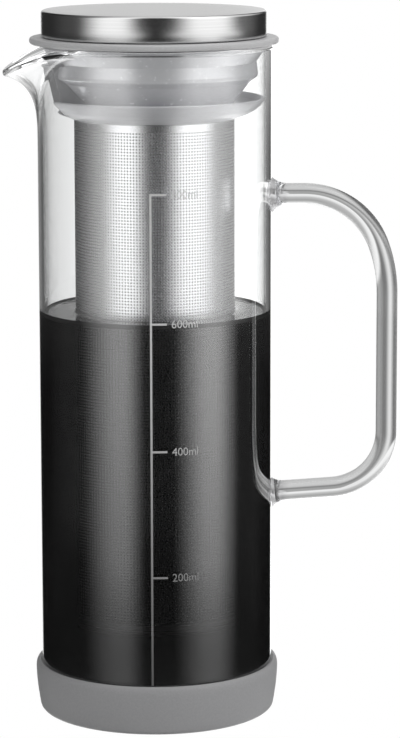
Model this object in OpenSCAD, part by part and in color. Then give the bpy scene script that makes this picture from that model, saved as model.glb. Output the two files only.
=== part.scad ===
// Cold brew coffee maker: glass carafe with a pulled spout and a glass handle, a silicone base
// sleeve, a fine-holed steel filter hung from a silicone collar, and a turning lid whose panel
// shuts the spout. Millimetres, +Z up, origin on the table under the carafe's axis, the handle
// toward +X, the spout toward -X and the scale facing -Y.

/* [Glass carafe] */
// outside diameter of the glass cylinder
glass_d = 80.4; // [79:0.2:82]
// thickness of the glass wall
glass_wall = 1.9; // [1.6:0.1:2.2]
// height of the glass rim above the table
rim_z = 232.3; // [228:0.1:236]
// how far the rim bead stands out from the wall
rim_flare = 0.5; // [0.3:0.1:1.2]
// thickness of the glass bottom
glass_floor = 4; // [3:0.5:5]
// how far the bottom is pushed up in the middle
punt_h = 6; // [4:0.5:7]

/* [Spout] */
// distance from the glass's outside in to the axis of the flared lip
spout_in = 14.2; // [13.2:0.5:15.2]
// outside radius of the flared lip
spout_r = 25.8; // [25:0.1:26.4]
// radius of the flare under the lip
flare_r = 11.8; // [11:0.1:12.4]
// distance from the rim down to where the flare leaves the wall
flare_drop = 21.7; // [20:0.1:24]
// radius of the curve that the lip's upper edge follows from the side
lip_curve_r = 46.3;
// distance from the glass's outside in to the centre of that curve
lip_curve_in = 15.1;

/* [Handle] */
// thickness of the glass rod
rod_d = 7.2; // [6.4:0.2:8]
// distance from the glass's outside to the middle of the grip
grip_out = 39.85; // [36:0.05:44]
// height of the middle of the upper run
upper_run_z = 180.9; // [178:0.1:184]
// height of the middle of the lower run at its bend
lower_run_z = 77.8; // [74:0.1:82]
// radius of the first part of the upper bend
bend_a = 27; // [24:0.5:29]
// radius of the wide part of the upper bend
bend_b = 50; // [44:1:56]
// how far the first part of the upper bend turns
bend_a_deg = 70;
// radius of the lower bend
bend_c = 20; // [16:0.5:24]
// slope of the lower run toward the carafe
lower_slope = 4;
// radius of the upper weld on the wall
weld_up_r = 6.6; // [5.5:0.1:7.5]
// radius of the lower weld on the wall
weld_low_r = 5.4; // [5:0.1:6.5]
// length of each weld's cone
weld_len = 5.5; // [4:0.5:7]

/* [Base sleeve] */
// height of the silicone sleeve
sleeve_h = 17.2; // [14:0.2:24]
// thickness of the sleeve under the glass
sleeve_floor = 5.5; // [4:0.5:7]
// thickness of the sleeve's wall round the glass
sleeve_t = 2.15; // [1.8:0.05:2.8]
// how far the flat that stands on the table lies inside the glass's outside
foot_in = 1.4; // [1:0.1:3]

/* [Scale and brew] */
// volume between two marks, in millilitres
mark_step = 200;
// number of marks
mark_count = 4; // [2:1:4]
// width of the line and the marks
mark_w = 0.7; // [0.5:0.1:1]
// length of each mark round the glass, in degrees
mark_deg = 7.6; // [6:0.1:9]
// how far the print stands out of the glass
print_t = 0.15; // [0.1:0.05:0.3]
// height of the brew's surface
brew_z = 141.4; // [100:0.1:150]

/* [Filter] */
// distance between the glass's bore and the filter tube
tube_space = 10.8; // [10.6:0.1:12]
// thickness of the filter's sheet
tube_wall = 0.4; // [0.3:0.1:0.5]
// height of the filter's underside
tube_low_z = 32; // [28:0.5:60]
// height of the steel cup that closes the tube
cup_h = 4; // [3:0.5:6]
// height of the steel hoop round the tube's mouth
hoop_h = 3; // [2:0.5:3]
// distance from the glass rim down to the collar's lower edge
collar_drop = 24.9;
// height of the silicone collar
collar_h = 6.9;
// thickness of the silicone collar
collar_t = 1.3; // [1:0.1:1.5]
// half the width of the collar's pouring notch
notch_half = 17.5; // [16:0.5:19]

/* [Lid] */
// how far the steel cap's side lies inside the glass's outside
cap_in = 1.7; // [1.2:0.1:3.2]
// height of the steel cap
cap_h = 8.8; // [7:0.1:10]
// thickness of the cap's sheet
cap_t = 0.8; // [0.6:0.1:1]
// how far the gasket reaches past the glass's outside
gasket_over = 2.3; // [1.3:0.1:3.3]
// thickness of the gasket
gasket_t = 2.2; // [2:0.1:2.6]
// width of the core's shoulder under the gasket
neck_step = 3.9; // [3.4:0.1:5]
// thickness of the core's wall
core_wall = 2.2; // [1.8:0.1:2.6]
// space between the core's plug and the filter's mouth
plug_gap = 0.7; // [0.5:0.1:2]
// half the width of the panel that shuts the spout
panel_half = 16; // [14:0.5:17]
// distance from the glass rim down to the panel's lower edge
panel_drop = 19.6;
// height of the panel
panel_h = 13.3; // [11:0.1:13.5]
// how far the panel's lower edge lies inside the bore
panel_low_in = 4; // [3.4:0.1:5]
// how far the panel's upper edge lies inside the bore
panel_top_in = 1; // [0.7:0.1:2]
// thickness of the lip on the panel
lip_t = 0.9; // [0.7:0.1:1.2]
// half the width of that lip
lip_half = 19; // [17:0.5:21]

/* [Clearances] */
// space between pieces that move past each other
gap = 0.35; // [0.3:0.05:0.4]
// space between pieces that rest on each other
seat = 0.3; // [0.3:0.05:0.35]

/* [Hidden] */
$fn = 96;
glass_r = glass_d / 2;
bore_r = glass_r - glass_wall;
glass_low_z = sleeve_floor;
sleeve_r = glass_r + sleeve_t;
foot_r = glass_r - foot_in;
flare_z = rim_z - flare_drop;
spout_x = glass_r - spout_in;
lip_curve_x = glass_r - lip_curve_in;
floor_z = glass_low_z + glass_floor;
base_round = 7;
bore_round = base_round - glass_wall;
punt_r = bore_r - 8.3;
punt_ml = PI * punt_h * (3 * punt_r * punt_r + punt_h * punt_h) / 6000;
bore_mm2 = PI * bore_r * bore_r;
round_ml = (1 - PI / 4) * bore_round * bore_round * 2 * PI * (bore_r - 0.22 * bore_round) / 1000;
function mark_z(ml) = floor_z + (ml + punt_ml + round_ml) * 1000 / bore_mm2;
slide_r = bore_r - gap;
tube_r = bore_r - tube_space;
tube_in_r = tube_r - tube_wall;
gasket_z = rim_z + seat;
cap_z = gasket_z + gasket_t + seat;
cap_top_z = cap_z + cap_h;
cap_r = glass_r - cap_in;
gasket_r = glass_r + gasket_over;
neck_r = slide_r - neck_step;
neck_in_r = neck_r - core_wall;
plug_r = tube_in_r - plug_gap;
shoulder_z = rim_z - 0.1;
collar_low_z = rim_z - collar_drop;
collar_top_z = collar_low_z + collar_h;
core_low_z = collar_low_z + 0.6;
panel_low_z = rim_z - panel_drop;
panel_top_z = panel_low_z + panel_h;
line_deg = mark_w / glass_r * 180 / PI;
scale_from = -90 - 1.8;

// which piece to draw

// points on an arc round (x, z) from angle a0 to angle a1
function arc(x, z, r, a0, a1, n) =
    [for (i = [0:n]) let (a = a0 + (a1 - a0) * i / n) [x + r * cos(a), z + r * sin(a)]];

// spherical punt: heights above z0, from the middle out to punt_r
function punt(z0, n) = let (s = (punt_r * punt_r + punt_h * punt_h) / (2 * punt_h))
    [for (i = [0:n]) let (x = punt_r * i / n)
        [x, z0 + punt_h - s + sqrt(s * s - x * x)]];

function reverse(v) = [for (i = [len(v) - 1:-1:0]) v[i]];

// outside of the glass below the rim, from the foot up
function glass_side() = arc(glass_r - base_round, glass_low_z + base_round, base_round, -90, 0, 6);

module glass_shell_2d() {
    rim = [[glass_r, rim_z - 2.6], [glass_r + 0.4 * rim_flare, rim_z - 1.9],
           [glass_r + rim_flare, rim_z - 1.1], [glass_r + 0.9 * rim_flare, rim_z - 0.4],
           [glass_r + 0.2, rim_z], [bore_r + 0.9, rim_z], [bore_r + 0.3, rim_z - 0.5],
           [bore_r, rim_z - 1.4]];
    polygon(concat(
        punt(glass_low_z, 8), glass_side(), rim,
        arc(bore_r - bore_round, floor_z + bore_round, bore_round, 0, -90, 5),
        reverse(punt(floor_z, 8))));
}

module filled_glass() rotate_extrude() polygon(concat([[0, glass_low_z]], glass_side(),
    [[glass_r, rim_z - 3], [0, rim_z - 3]]));

// flare of the spout's lip round its own axis: the outside with off = 0, the inside with the wall
module lip_form(off, top) {
    r = flare_r + off;
    translate([-spout_x, 0, 0]) rotate_extrude() polygon(concat(
        [[0, flare_z - 3], [spout_r - r, flare_z - 3]],
        arc(spout_r, flare_z, r, 180, 90 + asin(off / r) + 2, 9),
        [[spout_r - off, flare_z + r + 0.3], [spout_r - off, top], [0, top]]));
}

module carafe_glass() color([0.86, 0.9, 0.92, 0.35]) difference() {
    union() {
        rotate_extrude() glass_shell_2d();
        difference() {
            intersection() {
                lip_form(0, rim_z + 2);
                translate([-lip_curve_x, 1.5 * glass_r, rim_z - lip_curve_r + 0.2])
                    rotate([90, 0, 0]) cylinder(r = lip_curve_r, h = 3 * glass_r);
            }
            translate([0, 0, flare_z - 10]) cylinder(r = bore_r, h = 2 * flare_drop);
        }
    }
    lip_form(glass_wall, rim_z + 6);
}

// The rod follows straight runs and arcs in the XZ plane. Every second piece is thinner by slim
// and the thicker ones reach into it by lap, so that the pieces make one solid.
lap = 0.6;
slim = 0.12;
grip_x = glass_r + grip_out;
turn_a = 90 - bend_a_deg;
centre_a = [grip_x - bend_a * cos(turn_a) - bend_b * (1 - cos(turn_a)), upper_run_z - bend_a];
centre_b = [grip_x - bend_b, centre_a[1] + (bend_a - bend_b) * sin(turn_a)];
centre_c = [grip_x - bend_c, lower_run_z + bend_c];
low_end = centre_c + bend_c * [sin(lower_slope), -cos(lower_slope)];
weld_low_z = low_end[1] - (low_end[0] - glass_r) * tan(lower_slope);

module rod_run(a, dir, len, d) translate([a[0], 0, a[1]]) rotate([0, 90 - dir, 0])
    cylinder(d = d, h = len);

module rod_arc(c, r, a0, a1, d, reach) {
    more = reach / r * 180 / PI;
    translate([c[0], 0, c[1]]) rotate([90, 0, 0]) rotate([0, 0, a0 - more])
        rotate_extrude(angle = a1 - a0 + 2 * more) translate([r, 0]) circle(d = d);
}

// cone of glass where the rod meets the wall
module weld(r, z) translate([glass_r - 3, 0, z]) rotate([0, 90, 0])
    cylinder(r1 = r, r2 = rod_d / 2 - 0.05, h = weld_len + 3);

module carafe_handle() color([0.86, 0.9, 0.92, 0.35]) difference() {
    union() {
        rod_run([glass_r - 6, upper_run_z], 0, centre_a[0] - glass_r + 6 + lap, rod_d);
        rod_arc(centre_a, bend_a, turn_a, 90, rod_d - slim, 0);
        rod_arc(centre_b, bend_b, 0, turn_a, rod_d, lap);
        rod_run([grip_x, centre_c[1]], 90, centre_b[1] - centre_c[1], rod_d - slim);
        rod_arc(centre_c, bend_c, lower_slope - 90, 0, rod_d, lap);
        rod_run(low_end, 180 + lower_slope, (low_end[0] - glass_r + 5) / cos(lower_slope),
            rod_d - slim);
        weld(weld_up_r, upper_run_z);
        weld(weld_low_r, weld_low_z);
    }
    rotate([0, 0, 180]) translate([0, 0, 40]) cylinder(r = glass_r, h = 180);
}

module base_sleeve() color([0.5, 0.5, 0.51]) difference() {
    rotate_extrude() polygon([
        [0, 0], [foot_r, 0], [foot_r + 1.5, 0.5], [foot_r + 2.15, 1.7],
        [sleeve_r - 0.9, 0.29 * sleeve_h], [sleeve_r - 0.4, 0.49 * sleeve_h],
        [sleeve_r - 0.1, 0.7 * sleeve_h],
        [sleeve_r, sleeve_h - 2.6], [sleeve_r - 0.2, sleeve_h - 1], [sleeve_r - 0.8, sleeve_h - 0.2],
        [sleeve_r - 1.4, sleeve_h], [0, sleeve_h]]);
    filled_glass();
}

// a patch of print on the glass: degrees from a0 over deg, heights z0 to z1
module print_patch(a0, deg, z0, z1) rotate([0, 0, a0]) rotate_extrude(angle = deg)
    translate([glass_r, z0]) square([print_t, z1 - z0]);

module measuring_scale() color([0.93, 0.93, 0.93]) {
    print_patch(scale_from, line_deg, sleeve_h + 0.3, mark_z(mark_step * mark_count) + mark_w / 2);
    for (i = [1:mark_count])
        print_patch(scale_from + line_deg / 2, mark_deg, mark_z(mark_step * i) - mark_w / 2,
            mark_z(mark_step * i) + mark_w / 2);
}

module cold_brew() color([0.09, 0.05, 0.03]) rotate_extrude() polygon(concat(
    punt(floor_z, 8), arc(bore_r - bore_round, floor_z + bore_round, bore_round, -90, 0, 5),
    [[bore_r, brew_z], [tube_r + gap, brew_z], [tube_r + gap, tube_low_z - gap],
     [0, tube_low_z - gap]]));

module ring(r_out, r_in, z0, z1) translate([0, 0, z0]) difference() {
    cylinder(r = r_out, h = z1 - z0);
    translate([0, 0, -1]) cylinder(r = r_in, h = z1 - z0 + 2);
}

module filter_tube() color([0.75, 0.76, 0.78])
    ring(tube_r, tube_in_r, tube_low_z + cup_h, collar_low_z + 2);

// pressed cup that closes the tube's lower end
module filter_cup() color([0.72, 0.73, 0.75]) difference() {
    translate([0, 0, tube_low_z]) cylinder(r = tube_r, h = cup_h);
    translate([0, 0, tube_low_z + 0.8]) cylinder(r = tube_in_r, h = cup_h);
}

module filter_hoop() color([0.72, 0.73, 0.75])
    ring(tube_r + 0.5, tube_r, collar_low_z + 2 - hoop_h + 0.6, collar_low_z + 2);

// a point of the collar: in from the tube to the bore, and up from the collar's lower edge
function collar_at(f, g, in = 0) =
    [tube_r + f * (slide_r - tube_r) - in, collar_low_z + g * collar_h];

module filter_collar() color([0.72, 0.72, 0.74, 0.8]) difference() {
    rotate_extrude() polygon([
        collar_at(0.048, 0), collar_at(0.096, 0), collar_at(0.483, 0.232), collar_at(0.703, 0.435),
        collar_at(0.847, 0.638), collar_at(0.962, 0.87), collar_at(1, 0.971),
        collar_at(0.981, 1), collar_at(1, 1, collar_t), collar_at(0.847, 0.725, collar_t),
        collar_at(0.675, 0.522, collar_t), collar_at(0.086, 0.29), collar_at(0.048, 0.29)]);
    translate([-2 * glass_r, -notch_half, collar_low_z + 0.232 * collar_h])
        cube([2 * glass_r, 2 * notch_half, 3 * collar_h]);
}

module lid_gasket() color([0.62, 0.62, 0.63]) rotate_extrude() polygon([
    [neck_r + gap, gasket_z], [gasket_r - 1.1, gasket_z], [gasket_r - 0.3, gasket_z + 0.4],
    [gasket_r, gasket_z + gasket_t / 2], [gasket_r - 0.3, gasket_z + gasket_t - 0.4],
    [gasket_r - 1.1, gasket_z + gasket_t], [neck_r + gap, gasket_z + gasket_t]]);

module lid_cap() color([0.78, 0.79, 0.8]) rotate_extrude() polygon([
    [cap_r - cap_t, cap_z], [cap_r, cap_z], [cap_r, cap_top_z - 1.1], [cap_r - 0.3, cap_top_z - 0.4],
    [cap_r - 1, cap_top_z], [0, cap_top_z], [0, cap_top_z - cap_t],
    [cap_r - cap_t - 0.6, cap_top_z - cap_t], [cap_r - cap_t, cap_top_z - cap_t - 0.8]]);

// moulded disc inside the cap that holds the core
module lid_insert() color([0.8, 0.8, 0.81]) rotate_extrude() polygon([
    [0, cap_top_z - cap_t - 2], [neck_in_r, cap_top_z - cap_t - 2], [neck_in_r, cap_z],
    [cap_r - cap_t, cap_z], [cap_r - cap_t, cap_top_z - cap_t - 0.8],
    [cap_r - cap_t - 0.6, cap_top_z - cap_t], [0, cap_top_z - cap_t]]);

// a point of the core's side: out from the plug to the bore, and up to the shoulder
function core_at(f, g) = [plug_r + f * (slide_r - plug_r), core_low_z + g * (shoulder_z - core_low_z)];

function core_side() = [
    core_at(0, 0), core_at(0, 0.116), core_at(0.069, 0.19), core_at(0.173, 0.248),
    core_at(0.277, 0.314), core_at(0.39, 0.376), core_at(0.476, 0.434), core_at(0.554, 0.488),
    core_at(0.684, 0.537), core_at(0.771, 0.574), core_at(0.779, 0.603), core_at(0.745, 0.719),
    core_at(0.736, 0.773), core_at(0.771, 0.793), core_at(0.84, 0.851), core_at(0.926, 0.909),
    core_at(1, 0.963), core_at(1, 1), [neck_r, shoulder_z]];

module core_solid(top) rotate_extrude()
    polygon(concat([[0, core_low_z]], core_side(), [[neck_r, top], [0, top]]));

module lid_core() color([0.74, 0.74, 0.77, 0.85]) difference() {
    core_solid(cap_z);
    rotate_extrude() polygon([
        [0, core_low_z + core_wall - 0.2], [plug_r - core_wall, core_low_z + core_wall - 0.2],
        [plug_r - core_wall, core_at(0, 0.14)[1]],
        [core_at(0.505, 0)[0] - 1.5 * core_wall, core_at(0, 0.455)[1]],
        [neck_in_r, core_at(0, 0.579)[1]], [neck_in_r, cap_z + 1], [0, cap_z + 1]]);
}

// solid panel that fills the recess between the core and the glass at the spout
module pour_panel() color([0.7, 0.7, 0.73, 0.85]) difference() {
    intersection() {
        translate([0, 0, panel_low_z])
            cylinder(r1 = bore_r - panel_low_in, r2 = bore_r - panel_top_in, h = panel_h);
        translate([-2 * glass_r, -panel_half, 0])
            cube([2 * glass_r - panel_half, 2 * panel_half, 2 * rim_z]);
    }
    core_solid(shoulder_z);
}

module panel_lip() color([0.6, 0.6, 0.62]) difference() {
    intersection() {
        translate([0, 0, panel_top_z]) cylinder(r = slide_r, h = lip_t);
        translate([-2 * glass_r, -lip_half, 0])
            cube([2 * glass_r - lip_half, 2 * lip_half, 2 * rim_z]);
    }
    core_solid(shoulder_z);
}

carafe_glass();
carafe_handle();
base_sleeve();
measuring_scale();
cold_brew();
filter_tube();
filter_cup();
filter_hoop();
filter_collar();
lid_gasket();
lid_cap();
lid_insert();
lid_core();
pour_panel();
panel_lip();
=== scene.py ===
import bpy, bmesh
from math import asin, cos, degrees, hypot, pi, radians, sin, sqrt, tan
from mathutils import Matrix, Vector


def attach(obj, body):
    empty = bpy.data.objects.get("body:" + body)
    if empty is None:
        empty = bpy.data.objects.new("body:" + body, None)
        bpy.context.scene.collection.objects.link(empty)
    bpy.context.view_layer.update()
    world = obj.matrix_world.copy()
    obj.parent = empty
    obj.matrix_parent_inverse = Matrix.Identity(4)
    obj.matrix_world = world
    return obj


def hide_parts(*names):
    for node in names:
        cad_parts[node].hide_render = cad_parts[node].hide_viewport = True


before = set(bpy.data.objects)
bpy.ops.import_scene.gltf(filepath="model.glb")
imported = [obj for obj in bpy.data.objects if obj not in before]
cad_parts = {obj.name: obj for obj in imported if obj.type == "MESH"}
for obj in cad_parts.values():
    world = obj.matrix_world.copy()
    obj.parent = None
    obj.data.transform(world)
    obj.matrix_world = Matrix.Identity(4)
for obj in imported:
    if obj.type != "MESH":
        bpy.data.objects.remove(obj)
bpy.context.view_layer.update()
scene = bpy.context.scene
MM = 0.001

# sizes shared by several pieces, in millimetres; midR is an extra ring on flat discs
glass = dict(outer=40.2, wall=1.9, rimZ=232.3, lowZ=5.5, floorZ=9.5, footRound=7.0, puntH=6.0,
             puntR=30.0, rimFlare=0.5)
boreR = glass["outer"] - glass["wall"]
midR = 20

# ---------- materials ----------
white = (1, 1, 1, 1)
noiseSpan = (0.3, 0.7)
bumpDepth = 0.0001
ringShade = (0.96, 1.03)
caughtAfter = 7.0

# heights and radii are in metres here, as the materials see them, and turns in radians; the holes
# are given in shares of their pitch
looks = dict(
    glass=dict(color=(0.985, 0.99, 0.99, 1), ior=1.47, sheen=2.0,
               sheenR=(0.0392, 0.0396, 0.0404, 0.041)),
    handle=dict(color=(0.985, 0.99, 0.99, 1), ior=1.47, weld=(0.72, 0.72, 0.73, 1),
                weldR=(0.0425, 0.047)),
    brew=dict(ior=1.33, tint=(0.0, 0.0, 0.0, 1), density=170.0),
    film=dict(base=(0.02, 0.02, 0.02, 1), rough=0.3, shine=0.2),
    sleeve=dict(base=(0.295, 0.295, 0.3, 1), rough=0.55, shine=0.4),
    gasket=dict(base=(0.52, 0.52, 0.525, 1), rough=0.45, shine=0.4),
    collar=dict(base=(0.56, 0.56, 0.58, 1), rough=0.3, shine=0.9),
    cap=dict(base=(0.62, 0.62, 0.62, 1), rough=0.2, rings=2500.0, bump=0.02),
    smooth=dict(base=(0.6, 0.6, 0.61, 1), rough=0.28, rings=3000.0, bump=0.02),
    # mesh: dark is the holes' colour, a painted shade for the dim inside seen through them
    mesh=dict(base=(0.74, 0.74, 0.75, 1), dark=(0.24, 0.24, 0.25, 1), rough=0.26, holeRough=0.3,
              bump=0.35, radius=0.0275, pitch=0.00105, hole=0.27, holeEdge=0.07,
              zone=(0.0365, 0.0367, 0.2045, 0.2047)),
    core=dict(low=(0.6, 0.6, 0.63, 1), high=(0.72, 0.72, 0.74, 1), fromTo=(0.209, 0.22),
              rough=0.27, shine=0.6, coat=0.25, metalHigh=0.2, metalLow=0.6,
              # the shade entries are a painted shadow: a dark strip on the front of the neck, under
              # the gasket
              shade=(0.08, 0.08, 0.08, 1), shadeZ=(0.2303, 0.2313), shadeTurn=(0.2, 0.32)),
    panel=dict(low=(0.3, 0.3, 0.31, 1), high=(0.36, 0.36, 0.37, 1), fromTo=(0.212, 0.226),
               rough=0.38, shine=0.5, coat=0.1, metalHigh=0.15, metalLow=0.15),
    # ink: white print whose low end is painted shade, darker towards the bottom
    ink=dict(low=(0.1, 0.1, 0.1, 1), high=(0.62, 0.62, 0.62, 1), fromTo=(0.01, 0.15), rough=0.45))


def newMaterial(name):
    mat = bpy.data.materials.new(name)
    mat.use_nodes = True
    tree = mat.node_tree
    tree.nodes.clear()
    out = tree.nodes.new("ShaderNodeOutputMaterial")
    out.name = "out"
    shader = tree.nodes.new("ShaderNodeBsdfPrincipled")
    tree.links.new(shader.outputs[0], out.inputs["Surface"])
    return mat, tree, shader


def setInputs(node, **values):
    for key, value in values.items():
        node.inputs[key.replace("_", " ")].default_value = value


def addNode(tree, kind, **values):
    n = tree.nodes.new(kind)
    for key, value in values.items():
        setattr(n, key, value)
    return n


# a socket takes a value or a link
def feed(tree, socket, value):
    if isinstance(value, bpy.types.NodeSocket):
        tree.links.new(value, socket)
    else:
        socket.default_value = value


def mathNode(tree, op, *parts):
    n = addNode(tree, "ShaderNodeMath", operation=op)
    for socket, part in zip(n.inputs, parts):
        feed(tree, socket, part)
    return n.outputs[0]


def chainNode(tree, op, parts):
    total = parts[0]
    for part in parts[1:]:
        total = mathNode(tree, op, total, part)
    return total


def sumNode(tree, *parts):
    return chainNode(tree, "ADD", parts)


def timesNode(tree, *parts):
    return chainNode(tree, "MULTIPLY", parts)


def smoothRange(tree, value, lo, hi, outLo=0.0, outHi=1.0):
    n = addNode(tree, "ShaderNodeMapRange", interpolation_type="SMOOTHSTEP")
    tree.links.new(value, n.inputs["Value"])
    setInputs(n, From_Min=lo, From_Max=hi, To_Min=outLo, To_Max=outHi)
    return n.outputs[0]


# 1 from b to c, falling smoothly to 0 at a and d
def windowNode(tree, value, a, b, c, d):
    return timesNode(tree, smoothRange(tree, value, a, b), smoothRange(tree, value, c, d, 1.0, 0.0))


def mixColor(tree, factor, a, b, blend="MIX"):
    n = addNode(tree, "ShaderNodeMix", data_type="RGBA", blend_type=blend)
    for socket, value in ((n.inputs[0], factor), (n.inputs[6], a), (n.inputs[7], b)):
        feed(tree, socket, value)
    return n.outputs[2]


def mixFloat(tree, factor, a, b):
    n = addNode(tree, "ShaderNodeMix", data_type="FLOAT")
    for socket, value in ((n.inputs[0], factor), (n.inputs[2], a), (n.inputs[3], b)):
        feed(tree, socket, value)
    return n.outputs[0]


def mixSurface(tree, factor, first, second):
    mix = tree.nodes.new("ShaderNodeMixShader")
    for socket, source in zip(mix.inputs, (factor, first.outputs[0], second.outputs[0])):
        tree.links.new(source, socket)
    tree.links.new(mix.outputs[0], tree.nodes["out"].inputs["Surface"])


def newGroup(name, inputs, outputs):
    g = bpy.data.node_groups.new(name, "ShaderNodeTree")
    for way, sockets in (("INPUT", inputs), ("OUTPUT", outputs)):
        for label, kind in sockets.items():
            g.interface.new_socket(label, in_out=way, socket_type="NodeSocket" + kind)
    return g, g.nodes.new("NodeGroupInput"), g.nodes.new("NodeGroupOutput")


def fineGrainGroup():
    g, gin, gout = newGroup("fineGrain", dict(Scale="Float", Low="Float", High="Float", Bump="Float"),
                            dict(Value="Float", Normal="Vector"))
    co = g.nodes.new("ShaderNodeTexCoord")
    noise = g.nodes.new("ShaderNodeTexNoise")
    setInputs(noise, Detail=4.0, Roughness=0.6)
    span = g.nodes.new("ShaderNodeMapRange")
    setInputs(span, From_Min=noiseSpan[0], From_Max=noiseSpan[1])
    bump = g.nodes.new("ShaderNodeBump")
    setInputs(bump, Distance=bumpDepth)
    for source, target in ((co.outputs["Object"], noise.inputs["Vector"]),
                           (gin.outputs["Scale"], noise.inputs["Scale"]),
                           (noise.outputs["Fac"], span.inputs["Value"]),
                           (gin.outputs["Low"], span.inputs["To Min"]),
                           (gin.outputs["High"], span.inputs["To Max"]),
                           (gin.outputs["Bump"], bump.inputs["Strength"]),
                           (noise.outputs["Fac"], bump.inputs["Height"]),
                           (span.outputs["Result"], gout.inputs["Value"]),
                           (bump.outputs["Normal"], gout.inputs["Normal"])):
        g.links.new(source, target)
    return g


# round coordinates about the Z axis: angle in radians, radius and height in metres
def roundCoGroup():
    g, _, gout = newGroup("roundCo", {}, dict(Angle="Float", Radius="Float", Height="Float"))
    co = g.nodes.new("ShaderNodeTexCoord")
    xyz = g.nodes.new("ShaderNodeSeparateXYZ")
    g.links.new(co.outputs["Object"], xyz.inputs[0])
    x, y, z = xyz.outputs
    radius = mathNode(g, "SQRT", sumNode(g, timesNode(g, x, x), timesNode(g, y, y)))
    g.links.new(mathNode(g, "ARCTAN2", y, x), gout.inputs["Angle"])
    g.links.new(radius, gout.inputs["Radius"])
    g.links.new(z, gout.inputs["Height"])
    return g


fineGrain = fineGrainGroup()
roundCo = roundCoGroup()


def useGroup(tree, group, **values):
    n = addNode(tree, "ShaderNodeGroup", node_tree=group)
    setInputs(n, **values)
    return n


def tintBase(tree, shader, color, value):
    tree.links.new(mixColor(tree, 1.0, color, value, "MULTIPLY"), shader.inputs["Base Color"])


def grainOn(tree, shader, base, rough, **grain):
    n = useGroup(tree, fineGrain, **grain)
    tintBase(tree, shader, base, n.outputs["Value"])
    tree.links.new(timesNode(tree, n.outputs["Value"], rough), shader.inputs["Roughness"])
    tree.links.new(n.outputs["Normal"], shader.inputs["Normal"])


# a faint waviness
def waveOn(tree, shader, scale, bump):
    n = useGroup(tree, fineGrain, Scale=scale, Low=1.0, High=1.0, Bump=bump)
    tree.links.new(n.outputs["Normal"], shader.inputs["Normal"])


# glass without a shadow; weld greys it near the wall, sheen makes the wall's outside glossier
def clearGlass(name, look):
    mat, tree, shader = newMaterial(name)
    setInputs(shader, Base_Color=look["color"], Roughness=0.0, Metallic=0.0, Transmission_Weight=1.0)
    waveOn(tree, shader, scale=35.0, bump=0.02)
    radius = useGroup(tree, roundCo).outputs["Radius"]
    if "weld" in look:
        away = smoothRange(tree, radius, *look["weldR"])
        tree.links.new(mixColor(tree, away, look["weld"], look["color"]), shader.inputs["Base Color"])
    if "sheen" in look:
        geo = tree.nodes.new("ShaderNodeNewGeometry")
        front = mathNode(tree, "SUBTRACT", 1.0, geo.outputs["Backfacing"])
        outside = windowNode(tree, radius, *look["sheenR"])
        tree.links.new(timesNode(tree, outside, front), shader.inputs["Coat Weight"])
        setInputs(shader, Coat_IOR=look["sheen"], Coat_Roughness=0.03)
    path = tree.nodes.new("ShaderNodeLightPath")
    # a ray caught inside the wall leaves it after a few turns, so that the lip doesn't turn black
    caught = smoothRange(tree, path.outputs["Ray Depth"], caughtAfter, caughtAfter + 1.0,
                         look["ior"], 1.0)
    tree.links.new(caught, shader.inputs["IOR"])
    clear = tree.nodes.new("ShaderNodeBsdfTransparent")
    mixSurface(tree, path.outputs["Is Shadow Ray"], shader, clear)
    return mat


def brewMaterial(name, look):
    mat, tree, shader = newMaterial(name)
    setInputs(shader, Base_Color=white, Roughness=0.0, IOR=look["ior"], Metallic=0.0,
              Transmission_Weight=1.0)
    waveOn(tree, shader, scale=60.0, bump=0.01)
    absorb = tree.nodes.new("ShaderNodeVolumeAbsorption")
    setInputs(absorb, Color=look["tint"], Density=look["density"])
    tree.links.new(absorb.outputs[0], tree.nodes["out"].inputs["Volume"])
    return mat


def siliconeMaterial(name, look):
    mat, tree, shader = newMaterial(name)
    setInputs(shader, IOR=1.43, Specular_IOR_Level=look["shine"])
    grainOn(tree, shader, look["base"], look["rough"], Scale=1500.0, Low=0.94, High=1.04, Bump=0.12)
    return mat


def bumpOn(tree, shader, height, strength):
    bump = tree.nodes.new("ShaderNodeBump")
    setInputs(bump, Strength=strength, Distance=bumpDepth)
    tree.links.new(height, bump.inputs["Height"])
    tree.links.new(bump.outputs["Normal"], shader.inputs["Normal"])


# steel turned on a lathe, with faint rings round the axis
def steelMaterial(name, look):
    mat, tree, shader = newMaterial(name)
    setInputs(shader, Metallic=1.0)
    co = useGroup(tree, roundCo)
    rings = addNode(tree, "ShaderNodeTexNoise", noise_dimensions="2D")
    setInputs(rings, Scale=1.0, Detail=3.0)
    vec = tree.nodes.new("ShaderNodeCombineXYZ")
    for i, key in enumerate(("Radius", "Height")):
        tree.links.new(timesNode(tree, co.outputs[key], look["rings"]), vec.inputs[i])
    tree.links.new(vec.outputs[0], rings.inputs["Vector"])
    shade = smoothRange(tree, rings.outputs["Fac"], *noiseSpan, *ringShade)
    tintBase(tree, shader, look["base"], shade)
    tree.links.new(timesNode(tree, shade, look["rough"]), shader.inputs["Roughness"])
    bumpOn(tree, shader, rings.outputs["Fac"], look["bump"])
    return mat
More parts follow.
